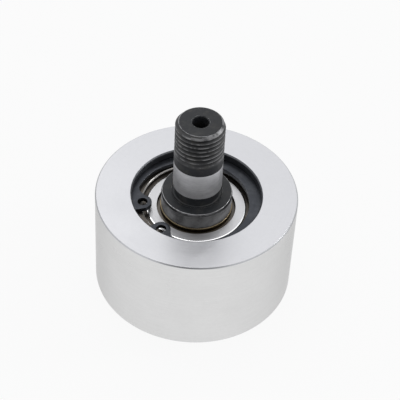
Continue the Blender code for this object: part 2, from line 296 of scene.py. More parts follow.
def add_node(tree, kind, inputs=None, **settings):
    """A node with its settings. An input takes a value, or another node's output to link."""
    node = tree.nodes.new(kind)
    for name, value in settings.items():
        setattr(node, name, value)
    for key, value in (inputs or {}).items():
        if isinstance(value, bpy.types.NodeSocket):
            tree.links.new(value, node.inputs[key])
        else:
            node.inputs[key].default_value = value
    return node


def math_node(tree, operation, *values, clamp=False):
    inputs = dict(enumerate(values))
    return add_node(tree, "ShaderNodeMath", inputs, operation=operation, use_clamp=clamp).outputs[0]


def noise(tree, vector, scale, detail=3.0, roughness=0.55):
    inputs = {"Vector": vector, "Scale": scale, "Detail": detail, "Roughness": roughness}
    return add_node(tree, "ShaderNodeTexNoise", inputs).outputs["Fac"]


def map_range(tree, value, from_min, from_max, to_min=0.0, to_max=1.0):
    inputs = {
        "Value": value,
        "From Min": from_min,
        "From Max": from_max,
        "To Min": to_min,
        "To Max": to_max,
    }
    node = add_node(tree, "ShaderNodeMapRange", inputs, interpolation_type="SMOOTHSTEP")
    return node.outputs["Result"]


def mix_colors(tree, share, first, second, blend_type="MIX"):
    inputs = {"Factor": share, "A": first, "B": second}
    node = tree.nodes.new("ShaderNodeMix")
    node.data_type = "RGBA"
    node.blend_type = blend_type
    for name, value in inputs.items():
        # A Mix node has sockets of the same name for each data type, so the colour's own are picked.
        wanted = "VALUE" if name == "Factor" else "RGBA"
        socket = next(s for s in node.inputs if s.name == name and s.type == wanted)
        if isinstance(value, bpy.types.NodeSocket):
            tree.links.new(value, socket)
        else:
            socket.default_value = value
    return next(s for s in node.outputs if s.type == "RGBA")


def turning_lines(tree, position, per_mm, streak):
    """Fine lines that run round the axis, on the sides and the end faces alike."""
    parts = add_node(tree, "ShaderNodeSeparateXYZ", {0: position}).outputs
    flat = add_node(tree, "ShaderNodeCombineXYZ", {0: parts["X"], 1: parts["Y"], 2: 0.0}).outputs[0]
    around = add_node(tree, "ShaderNodeVectorMath", {0: flat}, operation="NORMALIZE").outputs[0]
    distance = add_node(tree, "ShaderNodeVectorMath", {0: flat}, operation="LENGTH").outputs["Value"]
    # The height counts for more than the distance, so that a chamfer of 45 degrees has its lines too.
    across = math_node(tree, "MULTIPLY_ADD", parts["Z"], 1.3, distance)
    across = math_node(tree, "MULTIPLY", across, per_mm / MM)
    around = add_node(tree, "ShaderNodeVectorMath", {0: around, 3: streak}, operation="SCALE").outputs[0]
    split = add_node(tree, "ShaderNodeSeparateXYZ", {0: around}).outputs
    stretched = add_node(tree, "ShaderNodeCombineXYZ", {0: split["X"], 1: split["Y"], 2: across})
    return noise(tree, stretched.outputs[0], 1.0, detail=2.0)


def patch_mask(tree, position, covered):
    """Clouds that cover about this share of the surface."""
    clouds = noise(tree, position, 0.35 / MM, detail=5.0, roughness=0.65)
    threshold = 0.68 - 0.36 * covered
    return map_range(tree, clouds, threshold - 0.06, threshold + 0.1)


def speck_mask(tree, position):
    """Small round spots, in one cell out of five."""
    cells = add_node(tree, "ShaderNodeTexVoronoi", {"Vector": position, "Scale": 0.55 / MM})
    near = map_range(tree, cells.outputs["Distance"], 0.05, 0.11, 1.0, 0.0)
    pick = add_node(tree, "ShaderNodeSeparateColor", {0: cells.outputs["Color"]}).outputs[0]
    return math_node(tree, "MULTIPLY", near, math_node(tree, "GREATER_THAN", pick, 0.8))


def wear_and_highlight_mask(tree, position, edge, share):
    """Proud edges, broken up by clouds, for wear and for a painted highlight on some edges."""
    chipped = map_range(tree, noise(tree, position, 0.6 / MM, detail=4.0), 0.35, 0.62)
    proud = math_node(tree, "MULTIPLY", edge, chipped, clamp=True)
    return math_node(tree, "MULTIPLY", proud, share, clamp=True)


def rgba(color):
    return (*color, 1.0)


def metal(
    name,
    color,
    roughness,
    metallic=1.0,
    lines=(4.0, 3.0),
    line_tone=0.05,
    line_depth=0.3,
    tone=0.06,
    patches=None,
    edge_color=None,
    edge_share=0.0,
    corner_shade=0.5,
    specks=0.3,
    specular=0.5,
    anisotropic=0.0,
    limb=1.0,
):
    """A machined, coated or moulded surface.

    lines is how many turning lines lie in a millimetre and how often a line breaks round the axis.
    tone is how far the colour wanders, and line_tone is how far it does from line to line.
    patches is a second colour with the share of the surface that it covers.
    edge_color shows on proud edges, as wear, and also as a painted highlight where the lip and the thread's
    crests use it. corner_shade darkens inside corners, which is painted shade.
    specks is the strength of small dents and spots.
    limb is the share of the light that is still reflected where the surface is seen at a low angle.
    """
    material = bpy.data.materials.new(name)
    material.use_nodes = True
    tree = material.node_tree
    shader = tree.nodes["Principled BSDF"]
    position = add_node(tree, "ShaderNodeTexCoord").outputs["Object"]
    edge = add_node(tree, "ShaderNodeAttribute", attribute_name="edge").outputs["Fac"]

    broad = noise(tree, position, 0.11 / MM, detail=4.0)
    fine = noise(tree, position, 1.1 / MM, detail=3.0)
    grain = turning_lines(tree, position, *lines)

    shade = map_range(tree, broad, 0.25, 0.75, 1 - tone, 1 + tone)
    by_speckle = map_range(tree, fine, 0.2, 0.8, 1 - tone / 2, 1 + tone / 2)
    by_line = map_range(tree, grain, 0.3, 0.7, 1 - line_tone, 1 + line_tone)
    shade = math_node(tree, "MULTIPLY", shade, by_speckle)
    shade = math_node(tree, "MULTIPLY", shade, by_line)

    base = rgba(color)
    if patches:
        patch_color, covered = patches
        base = mix_colors(tree, patch_mask(tree, position, covered), base, rgba(patch_color))
    gray = add_node(tree, "ShaderNodeCombineColor", {0: shade, 1: shade, 2: shade}).outputs[0]
    base = mix_colors(tree, 1.0, base, gray, "MULTIPLY")

    dark = tuple(0.35 * channel for channel in color)
    speck = speck_mask(tree, position)
    base = mix_colors(tree, math_node(tree, "MULTIPLY", speck, specks), base, rgba(dark))
    # Painted shade: inside corners, where the edge value is below 0, are darkened towards the dark colour.
    inside = math_node(tree, "MULTIPLY", edge, -corner_shade, clamp=True)
    base = mix_colors(tree, inside, base, rgba(dark))

    rough = map_range(tree, broad, 0.25, 0.75, roughness * 0.88, roughness * 1.12)
    rough = math_node(tree, "ADD", rough, map_range(tree, grain, 0.3, 0.7, -0.04, 0.04))
    if edge_color:
        # The proud edges' colour is wear, and on the lip and the thread's crests it is also a painted
        # highlight.
        wear_and_highlight = wear_and_highlight_mask(tree, position, edge, edge_share)
        base = mix_colors(tree, wear_and_highlight, base, rgba(edge_color))
        shiny = mix_colors(tree, wear_and_highlight, rgba((metallic,) * 3), rgba((1.0,) * 3))
        tree.links.new(shiny, shader.inputs["Metallic"])
    else:
        shader.inputs["Metallic"].default_value = metallic

    height = math_node(tree, "MULTIPLY_ADD", grain, 0.6, math_node(tree, "MULTIPLY", fine, 0.4))
    height = math_node(tree, "MULTIPLY_ADD", speck, -specks, height)
    bump_inputs = {"Height": height, "Strength": line_depth, "Distance": 0.02 * MM}
    bump = add_node(tree, "ShaderNodeBump", bump_inputs).outputs[0]

    tree.links.new(base, shader.inputs["Base Color"])
    tree.links.new(rough, shader.inputs["Roughness"])
    tree.links.new(bump, shader.inputs["Normal"])
    shader.inputs["Specular IOR Level"].default_value = specular
    shader.inputs["Specular Tint"].default_value = rgba((limb,) * 3)
    if anisotropic:
        tangent = add_node(tree, "ShaderNodeTangent", direction_type="RADIAL", axis="Z").outputs[0]
        tree.links.new(tangent, shader.inputs["Tangent"])
        shader.inputs["Anisotropic"].default_value = anisotropic
    return material


GROUND_FACE = metal(
    "ground_face", (0.525, 0.527, 0.544), 0.42, lines=(5.0, 2.5), line_tone=0.02, line_depth=0.12,
    tone=0.025, edge_color=(0.66, 0.67, 0.69), edge_share=0.5, specks=0.12,
)
ROLLING_FACE = metal(
    "rolling_face", (0.71, 0.71, 0.71), 0.34, lines=(6.0, 2.0), line_tone=0.025, line_depth=0.15,
    tone=0.025, edge_color=(0.68, 0.69, 0.70), edge_share=0.5, specks=0.12, limb=0.72,
)
ROLLER_EDGE_STEEL = metal(
    "roller_edge", (0.47, 0.475, 0.49), 0.3, lines=(6.0, 2.0), line_tone=0.05, line_depth=0.15,
    tone=0.06, edge_color=(0.55, 0.56, 0.58), edge_share=0.3, specks=0.12,
)
BORE_STEEL = metal(
    "bored_steel", (0.11, 0.114, 0.122), 0.4, lines=(5.0, 1.5), line_tone=0.12, tone=0.12,
    edge_color=(0.3, 0.31, 0.33), edge_share=0.5,
)
BLACK_OXIDE = metal(
    "black_oxide", (0.0155, 0.0168, 0.0188), 0.42, metallic=0.0, lines=(5.0, 3.0), line_tone=0.15,
    tone=0.2, patches=((0.026, 0.026, 0.026), 0.35), edge_color=(0.5, 0.5, 0.51), edge_share=0.9,
    specks=0.4, specular=0.22,
)
# The thread's crests get a lighter edge colour, which is wear and also a painted highlight; its grooves get
# painted shade.
BLACK_THREAD = metal(
    "black_oxide_thread", (0.014, 0.0145, 0.016), 0.38, metallic=0.0, lines=(6.0, 1.5), line_tone=0.2,
    tone=0.25, patches=((0.024, 0.023, 0.022), 0.4), edge_color=(0.27, 0.27, 0.275), edge_share=0.85,
    specks=0.3, specular=0.45,
)
WORN_CHAMFER = metal(
    "worn_chamfer", (0.175, 0.175, 0.18), 0.36, lines=(6.0, 2.0), line_tone=0.15, tone=0.15,
    patches=((0.07, 0.07, 0.072), 0.4), edge_color=(0.6, 0.6, 0.61), edge_share=0.9,
)
GROUND_SHANK = metal(
    "ground_shank", (0.77, 0.77, 0.785), 0.38, metallic=0.85, lines=(6.0, 1.6), line_tone=0.08,
    line_depth=0.16, tone=0.06, patches=((0.72, 0.72, 0.735), 0.35), edge_color=(0.7, 0.7, 0.7),
    edge_share=0.7, anisotropic=0.4,
)
SHOULDER_SIDE = metal(
    "shoulder_side", (0.29, 0.29, 0.295), 0.38, metallic=0.85, lines=(5.0, 1.6), line_tone=0.12,
    line_depth=0.2, tone=0.12, patches=((0.21, 0.21, 0.215), 0.4), edge_color=(0.62, 0.62, 0.63),
    edge_share=0.9,
)
SPRING_STEEL = metal(
    "spring_steel", (0.046, 0.049, 0.056), 0.38, lines=(3.0, 4.0), line_tone=0.08, tone=0.15,
    patches=((0.056, 0.059, 0.066), 0.4), edge_color=(0.16, 0.165, 0.18), edge_share=0.7,
    specks=0.4,
)
# Painted shade: the races' steel is coloured very dark, for the shade they lie in down in the bore under
# the retaining ring.
RACE_SHADED_STEEL = metal(
    "race_steel", (0.075, 0.068, 0.06), 0.3, lines=(6.0, 1.2), line_tone=0.1, tone=0.12,
    edge_color=(0.4, 0.39, 0.37), edge_share=0.6, specks=0.2, anisotropic=0.3,
)
OILED_RACE = metal(
    "oiled_race", (0.23, 0.18, 0.105), 0.3, lines=(6.0, 1.2), line_tone=0.12, tone=0.15,
    edge_color=(0.5, 0.42, 0.28), edge_share=0.7,
)
# Painted glint: the outer race's lip chamfer is much lighter than the rest of the race, with a near-white
# edge, for the thin bright line along it.
LIP_GLINT = metal(
    "lip_painted_glint", (0.32, 0.31, 0.30), 0.2, lines=(6.0, 1.0), line_tone=0.06, tone=0.05,
    edge_color=(0.9, 0.9, 0.9), edge_share=0.9,
)
SHIELD_STEEL = metal(
    "shield_steel", (0.52, 0.52, 0.53), 0.42, metallic=0.9, lines=(5.0, 2.0), line_tone=0.04, tone=0.04,
    edge_color=(0.7, 0.7, 0.7), edge_share=0.5, specks=0.15, anisotropic=0.3,
)
# Painted highlight: the shield's bend is near-white steel, far lighter than its flat, for the bright line
# along it.
SHIELD_BEND_HIGHLIGHT = metal(
    "shield_bend_painted_highlight", (0.95, 0.95, 0.95), 0.18, lines=(5.0, 2.0), line_tone=0.05, line_depth=0.1, tone=0.05,
    specks=0.1,
)
# Painted shade: the shield's rim, sunk beside the retaining ring, is the same pressed steel as its flat but
# coloured dark.
SHIELD_RIM_SHADE = metal(
    "shield_rim_painted_shade", (0.075, 0.068, 0.06), 0.38, lines=(4.0, 4.0), line_tone=0.15, tone=0.2,
    patches=((0.045, 0.04, 0.036), 0.45),
)
SPACER_STEEL = metal(
    "spacer_steel", (0.42, 0.42, 0.43), 0.36, lines=(3.0, 1.5), line_tone=0.12, tone=0.08,
)
BALL_STEEL = metal(
    "ball_steel", (0.78, 0.78, 0.80), 0.07, lines=(2.0, 6.0), line_tone=0.02, line_depth=0.03, tone=0.03,
    specks=0.1,
)
CAGE_POLYMER = metal(
    "cage_polymer", (0.035, 0.032, 0.03), 0.5, metallic=0.0, lines=(1.0, 6.0), line_tone=0.06,
    tone=0.15, specks=0.2,
)

BODY_OF = {}
for body, members in frame["record"]["behaviour"]["bodies"].items():
    for member in members:
        BODY_OF[member] = body


# Roller

ROLLER_STEELS = [GROUND_FACE, ROLLING_FACE, BORE_STEEL, ROLLER_EDGE_STEEL]


def roller_corners(width, radius):
    """From the foot of the rolling face across the lower end face, up the bore and across the upper one."""
    face, side, bore, edge = range(4)
    half = width / 2
    lower = [
        (radius, -half + ROLLER_EDGE, 0.1, edge),
        (radius - ROLLER_EDGE, -half, 0.1, face),
        (ROLLER_BORE_RADIUS + BORE_CHAMFER, -half, 0.1, bore),
        (ROLLER_BORE_RADIUS, -half + BORE_CHAMFER, 0.1, bore),
        (ROLLER_BORE_RADIUS, -half + RING_GROOVE[0], 0.03, bore),
        (RING_GROOVE_RADIUS, -half + RING_GROOVE[0], 0.05, bore),
        (RING_GROOVE_RADIUS, -half + RING_GROOVE[1], 0.05, bore),
        (ROLLER_BORE_RADIUS, -half + RING_GROOVE[1], 0.03, bore),
    ]
    upper = mirrored(lower)
    # The face that closes the profile is the rolling face.
    upper[-1] = (*upper[-1][:3], side)
    return raised(lower + upper, half)


def make_roller():
    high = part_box("roller")[1]
    corners = roller_corners(high.z / MM, high.x / MM)
    turned("roller", corners, ROLLER_STEELS, ROLLER_SEGMENTS)


# Spacers

def make_spacer(node, inner_radius, outer_radius):
    low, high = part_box(node)
    corners = [
        (outer_radius, high.z / MM, 0.1, 0),
        (outer_radius, low.z / MM, 0.1, 0),
        (inner_radius, low.z / MM, 0.1, 0),
        (inner_radius, high.z / MM, 0.1, 0),
    ]
    turned(node, corners, [SPACER_STEEL], SPACER_SEGMENTS)


# Bearings

def raceway(bottom_radius, land_radius, outward):
    """The groove that the balls run in, as an arc from one land to the other.

    It runs outside the balls (outward) and then upwards, or inside them and then downwards.
    """
    sign = 1 if outward else -1
    centre = bottom_radius - sign * RACEWAY_RADIUS
    reach = math.acos(abs(land_radius - centre) / RACEWAY_RADIUS)
    towards = 0.0 if outward else math.pi
    points = arc((centre, 0.0), RACEWAY_RADIUS, towards - reach, towards + reach, RACEWAY_POINTS)
    return [(r, z, 0.0, 0) for r, z in points]


def make_outer_race(prefix):
    node = prefix + "_outer_race"
    steel, lip_steel = range(2)
    end = -BEARING_HALF_WIDTH
    lip = [
        (OUTER_LIP_RADIUS + 0.3, end, 0.05, lip_steel),
        (OUTER_LIP_RADIUS, end + 0.3, 0.05, steel),
        (OUTER_LIP_RADIUS, end + 0.85, 0.04, steel),
        (OUTER_LIP_RADIUS + 0.6, end + 0.85, 0.0, steel),
        (OUTER_LIP_RADIUS + 0.6, end + 1.45, 0.0, steel),
        (OUTER_LAND_RADIUS, end + 1.45, 0.08, steel),
    ]
    bottom = BALL_PITCH_RADIUS + BALL_RADIUS + RACE_CLEARANCE
    groove = raceway(bottom, OUTER_LAND_RADIUS, outward=True)
    outside = [
        (BEARING_OUTER_RADIUS, -end, BEARING_CHAMFER, steel),
        (BEARING_OUTER_RADIUS, end, BEARING_CHAMFER, steel),
    ]
    corners = outside + lip + groove + mirrored(lip)
    turned(node, raised(corners, middle(node)), [RACE_SHADED_STEEL, LIP_GLINT])


def make_inner_race(prefix):
    node = prefix + "_inner_race"
    steel, oiled = range(2)
    end = BEARING_HALF_WIDTH
    notch = [
        (INNER_RIM_RADIUS, end, 0.08, oiled),
        (INNER_RIM_RADIUS, end - 1.4, 0.05, steel),
        (INNER_LAND_RADIUS, end - 1.4, 0.08, steel),
    ]
    bottom = BALL_PITCH_RADIUS - BALL_RADIUS - RACE_CLEARANCE
    groove = raceway(bottom, INNER_LAND_RADIUS, outward=False)
    bore = [
        (BEARING_BORE_RADIUS, -end, BEARING_CHAMFER, steel),
        (BEARING_BORE_RADIUS, end, BEARING_CHAMFER, oiled),
    ]
    corners = notch + groove + mirrored(notch) + bore
    turned(node, raised(corners, middle(node)), [RACE_SHADED_STEEL, OILED_RACE])


def make_shield(prefix, name, side):
    """A pressed shield in the outer race's slot, on the bearing's upper (1) or lower (-1) side."""
    node = f"{prefix}_{name}"
    flat_zone, rim_zone, edge_zone = range(3)
    flat = BEARING_HALF_WIDTH - SHIELD_DEPTH
    rim = flat - SHIELD_STEP
    corners = [
        (SHIELD_INNER_RADIUS, flat, 0.08, flat_zone),
        (SHIELD_BEND_RADIUS, flat, 0.3, edge_zone),
        (SHIELD_BEND_RADIUS + 0.2, flat - 0.06, 0.1, edge_zone),
        (SHIELD_BEND_RADIUS + 0.35, rim, 0.12, rim_zone),
        (SHIELD_RIM_RADIUS, rim, 0.05, rim_zone),
        (SHIELD_RIM_RADIUS, rim - SHIELD_THICKNESS, 0.05, rim_zone),
        (SHIELD_BEND_RADIUS + 0.1, rim - SHIELD_THICKNESS, 0.12, rim_zone),
        (SHIELD_BEND_RADIUS - 0.05, flat - SHIELD_THICKNESS, 0.1, flat_zone),
        (SHIELD_INNER_RADIUS, flat - SHIELD_THICKNESS, 0.08, flat_zone),
    ]
    if side < 0:
        corners = mirrored(corners)
    height = middle(prefix + "_outer_race")
    # The rim's material is painted shade and the bend's is a painted highlight; the whole shield is one
    # pressed steel.
    turned(node, raised(corners, height), [SHIELD_STEEL, SHIELD_RIM_SHADE, SHIELD_BEND_HIGHLIGHT])


def ball_mesh(name, radius, centres):
    """Balls from a subdivided cube, whose faces are of nearly the same size all over."""
    cube = bmesh.new()
    bmesh.ops.create_cube(cube, size=2.0)
    bmesh.ops.subdivide_edges(cube, edges=cube.edges, cuts=BALL_CUTS, use_grid_fill=True)
    cube.verts.index_update()
    faces = [[vertex.index for vertex in face.verts] for face in cube.faces]
    # Equal angles along each cube edge keep the faces even after they are pushed out to the ball.
    rays = [Vector([math.tan(c * math.pi / 4) for c in vertex.co]).normalized() for vertex in cube.verts]
    cube.free()
    all_points = []
    all_faces = []
    for centre in centres:
        first = len(all_points)
        all_points += [(ray * radius + Vector(centre)) * MM for ray in rays]
        all_faces += [[first + index for index in face] for face in faces]
    mesh = bpy.data.meshes.new(name)
    mesh.from_pydata(all_points, [], all_faces)
    return mesh


def make_cage(prefix, side):
    """A one-piece snap cage whose closed side faces up (1) or down (-1)."""
    node = prefix + "_cage"
    height = middle(prefix + "_outer_race")
    corners = [
        (CAGE_OUTER_RADIUS, CAGE_BACK, 0.25, 0),
        (CAGE_OUTER_RADIUS, CAGE_FRONT, 0.15, 0),
        (CAGE_INNER_RADIUS, CAGE_FRONT, 0.15, 0),
        (CAGE_INNER_RADIUS, CAGE_BACK, 0.25, 0),
    ]
    if side < 0:
        corners = mirrored(corners)
    blank = to_mesh(turned_bmesh(raised(corners, height)), "cage_ring")
    ring = bpy.data.objects.new("cage_ring", blank)
    centres = [(*polar(BALL_PITCH_RADIUS, 2 * math.pi * i / BALLS), height) for i in range(BALLS)]
    pockets = bpy.data.objects.new("pockets", ball_mesh("pockets", POCKET_RADIUS, centres))
    for helper in (ring, pockets):
        bpy.context.scene.collection.objects.link(helper)
    boolean = ring.modifiers.new("pockets", "BOOLEAN")
    boolean.operation = "DIFFERENCE"
    boolean.solver = "EXACT"
    boolean.object = pockets
    bpy.context.view_layer.update()
    graph = bpy.context.evaluated_depsgraph_get()
    mesh = bpy.data.meshes.new_from_object(ring.evaluated_get(graph))
    mesh.materials.clear()
    for helper in (ring, pockets):
        bpy.data.objects.remove(helper)
    new_piece(node, mesh, [CAGE_POLYMER])


def make_balls(prefix):
    mesh = ball_mesh(prefix + "_ball", BALL_RADIUS, [(0.0, 0.0, 0.0)])
    mesh.materials.append(BALL_STEEL)
    mesh.shade_smooth()
    for i in range(1, BALLS + 1):
        node = f"{prefix}_ball_{i}"
        low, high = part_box(node)
        ball = bpy.data.objects.new("fine_" + node, mesh)
        ball.location = (low + high) / 2
        bpy.context.scene.collection.objects.link(ball)
        attach(ball, node)


def make_bearing(prefix, outside):
    make_outer_race(prefix)
    make_inner_race(prefix)
    make_shield(prefix, "outer_shield", outside)
    make_shield(prefix, "inner_shield", -outside)
    make_cage(prefix, outside)
    make_balls(prefix)


# Retaining rings

def blend(start, control, end, points):
    """The inner points of a quadratic curve, without its two ends."""
    found = []
    for i in range(1, points + 1):
        t = i / (points + 1)
        x, y = (
            (1 - t) ** 2 * a + 2 * t * (1 - t) * b + t**2 * c
            for a, b, c in zip(start, control, end)
        )
        found.append((x, y))
    return found


def add_loop(curve, points):
    spline = curve.splines.new("POLY")
    spline.points.add(len(points) - 1)
    for target, (x, y) in zip(spline.points, points):
        target.co = (x * MM, y * MM, 0.0, 1.0)
    spline.use_cyclic_u = True


def ring_outline(seat, free, offset, lug, inward):
    """The ring's outline with its gap at +X, from one half and its mirror image."""
    distance, lug_angle, nose_radius, _ = lug
    gap_half = lug_angle - math.asin(nose_radius / distance)
    turn = -1 if inward else 1
    nose_start = gap_half - math.pi / 2
    nose_end = nose_start + turn * LUG_NOSE_SWEEP
    nose = arc(polar(distance, lug_angle), nose_radius, nose_start, nose_end, 20)
    free_edge = arc((offset, 0.0), free, lug_angle + LUG_FILLET_END, math.pi, 60)
    corner_angle = lug_angle + LUG_FILLET_CORNER
    corner = polar(free + offset * math.cos(corner_angle), corner_angle)
    free_side = nose + blend(nose[-1], corner, free_edge[0], 8) + free_edge
    seat_side = arc((0.0, 0.0), seat, gap_half, math.pi, 80)
    mirrored_seat = [(x, -y) for x, y in reversed(seat_side[:-1])]
    mirrored_free = [(x, -y) for x, y in free_side]
    return seat_side + mirrored_seat + mirrored_free + list(reversed(free_side[:-1]))


def make_retaining_ring(node, seat, free, offset, lug, inward, gap_angle):
    """A tapered retaining ring with two drilled lugs.

    seat is the radius of the edge in the groove.
    free is the radius of the other edge, whose centre lies offset towards the gap.
    lug holds the nose's distance from the axis, its angle from the gap's middle, its radius and the
    radius of its hole.
    inward says that the lugs point to the axis.
    """
    low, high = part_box(node)
    thickness = high.z - low.z
    distance, lug_angle, _, hole_radius = lug
    curve = bpy.data.curves.new(node, "CURVE")
    curve.dimensions = "2D"
    curve.fill_mode = "BOTH"
    curve.offset = -RING_BEVEL * MM
    curve.bevel_depth = RING_BEVEL * MM
    curve.bevel_resolution = 2
    curve.extrude = thickness / 2 - RING_BEVEL * MM
    add_loop(curve, ring_outline(seat, free, offset, lug, inward))
    last = 2 * math.pi * (1 - 1 / LUG_HOLE_POINTS)
    for side in (1, -1):
        centre = polar(distance, side * lug_angle)
        add_loop(curve, arc(centre, hole_radius, 0.0, last, LUG_HOLE_POINTS))
    blank = bpy.data.objects.new(node + "_outline", curve)
    mesh = bpy.data.meshes.new_from_object(blank)
    bpy.data.objects.remove(blank)

    bm = bmesh.new()
    bm.from_mesh(mesh)
    bmesh.ops.remove_doubles(bm, verts=bm.verts, dist=MERGE_DISTANCE)
    bmesh.ops.recalc_face_normals(bm, faces=bm.faces)
    edge_layer = bm.verts.layers.float.new("edge")
    # The bevel's own vertices lie between the flat faces and the straight sides.
    flat = thickness / 2 - 1e-6
    straight = thickness / 2 - RING_BEVEL * MM + 1e-6
    for vertex in bm.verts:
        vertex[edge_layer] = 1.0 if straight < abs(vertex.co.z) < flat else 0.0
    bm.transform(Matrix.Rotation(gap_angle, 4, "Z"))
    bm.transform(Matrix.Translation((0.0, 0.0, (low.z + high.z) / 2)))
    bm.to_mesh(mesh)
    bm.free()
    new_piece(node, mesh, [SPRING_STEEL])


def make_roller_ring(node):
    make_retaining_ring(
        node,
        seat=16.75,
        free=13.98,
        offset=1.01,
        lug=(13.35, math.radians(22.5), 2.3, 1.25),
        inward=True,
        gap_angle=ROLLER_RING_GAP_ANGLE,
    )


def make_stud_ring():
    make_retaining_ring(
        "stud_circlip",
        seat=7.25,
        free=9.1,
        offset=-0.35,
        lug=(9.05, math.radians(25), 1.7, 0.85),
        inward=False,
        gap_angle=STUD_RING_GAP_ANGLE,
    )


# Stud

# Which of the stud's materials a zone of its surface has, in the order that make_stud gives them.
BLACK, THREAD, SHANK, CHAMFER, SHOULDER = range(5)

# The thread's section from the middle of a crest to the middle of the groove:
# (share of the pitch, depth, edge value).
THREAD_DEPTH = STUD_RADIUS - THREAD_ROOT_RADIUS
CHAMFER_WEAR = 0.8  # edge value of the chamfer where it cuts through the thread
# Edge values near 1 give the crests wear and a painted highlight; values below 0 paint shade into the
# groove.
THREAD_SECTION = [
    (0.0, 0.0, 0.9),
    (0.045, 0.0, 1.0),
    (0.07, 0.02, 0.7),
    (0.095, 0.075, 0.25),
    (0.22, 0.345, 0.0),
    (0.34, 0.605, -0.3),
    (0.395, 0.715, -0.7),
    (0.435, 0.76, -1.0),
    (0.5, THREAD_DEPTH, -1.0),
]


def groove_at(share):
    """(depth, edge value) of the thread's groove at a share of the pitch from the nearest crest."""
    for lower, upper in zip(THREAD_SECTION, THREAD_SECTION[1:]):
        low, low_depth, low_edge = lower
        high, high_depth, high_edge = upper
        if share <= high + 1e-9:
            between = (share - low) / (high - low)
            depth = low_depth + between * (high_depth - low_depth)
            return depth, low_edge + between * (high_edge - low_edge)


def thread_at(height, angle):
    """(radius, edge value) of the threaded end at a height and an angle from 0 to a full turn."""
    turns = angle / (2 * math.pi)
    start_turns = THREAD_START_ANGLE / (2 * math.pi)
    along = (height - THREAD_START) / THREAD_PITCH - turns + start_turns + 0.5
    share = along - math.floor(along)
    depth, edge = groove_at(min(share, 1.0 - share))
    turns_from_start = math.floor(along) + turns - start_turns
    run_in = min(max(turns_from_start / THREAD_RUN_IN, 0.0), 1.0)
    run_in = run_in * run_in * (3 - 2 * run_in)
    radius = STUD_RADIUS - depth * run_in
    cone = end_cone(height)
    if cone < radius:
        return cone, CHAMFER_WEAR
    return radius, edge * run_in


def end_cone(height):
    """Radius of the chamfer on the stud's threaded end."""
    return STUD_RADIUS - END_CHAMFER[0] * (height - STUD_TOP + END_CHAMFER[1]) / END_CHAMFER[1]


def add_thread(bm, low, high):
    """The threaded surface from a low to a high ring, as a grid whose rows follow the helix."""
    edge_layer = bm.verts.layers.float["edge"]
    shares = [share for share, _, _ in THREAD_SECTION]
    shares += [1.0 - share for share in reversed(shares[1:-1])]
    start_turns = THREAD_START_ANGLE / (2 * math.pi)
    first = math.floor((low - THREAD_START) / THREAD_PITCH) - 1
    last = math.ceil((high - THREAD_START) / THREAD_PITCH) + 1
    grid = []
    for turn in range(first, last + 1):
        for share in shares:
            line = []
            for i in range(SEGMENTS + 1):
                turns = i / SEGMENTS
                height = THREAD_START + THREAD_PITCH * (turn + share + turns - start_turns - 0.5)
                height = min(max(height, low), high)
                angle = 2 * math.pi * turns
                radius, edge = thread_at(height, angle)
                x, y = polar(radius * MM, angle)
                vertex = bm.verts.new((x, y, height * MM))
                vertex[edge_layer] = edge
                line.append(vertex)
            grid.append(line)
    for lower, upper in zip(grid, grid[1:]):
        for i in range(SEGMENTS):
            face = bm.faces.new((upper[i], lower[i], lower[i + 1], upper[i + 1]))
            face.material_index = THREAD
    bmesh.ops.remove_doubles(bm, verts=bm.verts, dist=MERGE_DISTANCE)


def make_socket_hexagonal(bm):
    """Pushes the round socket's wall out to a hexagon."""
    top = (STUD_FOOT + SOCKET_DEPTH + 0.1) * MM
    for vertex in bm.verts:
        from_wall = abs(vertex.co.xy.length / MM - SOCKET_FLAT_RADIUS)
        if vertex.co.z < top and from_wall < 0.3:
            angle = math.atan2(vertex.co.y, vertex.co.x) % math.radians(60) - math.radians(30)
            vertex.co.xy /= math.cos(angle)


def end_hole_corners():
    bottom = STUD_TOP - END_HOLE_DEPTH
    point = bottom - END_HOLE_RADIUS / math.tan(DRILL_HALF_ANGLE)
    return [
        (0.0, point, 0.0, BLACK),
        (END_HOLE_RADIUS, bottom, 0.0, BLACK),
        (END_HOLE_RADIUS, STUD_TOP - END_HOLE_CHAMFER, 0.05, BLACK),
        (END_HOLE_RADIUS + END_HOLE_CHAMFER, STUD_TOP, 0.06, BLACK),
    ]


def threaded_end_corners():
    """The end's chamfer and the plain shank, with the thread's own stretch left open between them."""
    return [
        (STUD_RADIUS - END_CHAMFER[0], STUD_TOP, 0.14, BLACK),
        (end_cone(THREAD_HIGH), THREAD_HIGH, 0.0, None),
        (STUD_RADIUS, THREAD_LOW, 0.0, BLACK),
        (STUD_RADIUS, BRIGHT_TOP, 0.0, SHANK),
    ]


def shoulder_corners():
    seat = SHOULDER_TOP - SEAT_DEPTH
    return [
        (STUD_RADIUS, UNDERCUT_TOP, 0.1, BLACK),
        (UNDERCUT_RADIUS, UNDERCUT_TOP - 0.3, 0.25, BLACK),
        (UNDERCUT_RADIUS, SHOULDER_TOP, 0.1, BLACK),
        (UNDERCUT_RADIUS + 0.3, seat, 0.1, BLACK),
        (SEAT_RADIUS - SEAT_DEPTH, seat, 0.08, BLACK),
        (SEAT_RADIUS, SHOULDER_TOP, 0.08, BLACK),
        (SHOULDER_RADIUS - 0.2, SHOULDER_TOP, 0.12, CHAMFER),
        (SHOULDER_RADIUS, SHOULDER_TOP - 0.7, 0.1, SHOULDER),
        (SHOULDER_RADIUS, SHOULDER_FOOT, 0.05, SHANK),
    ]


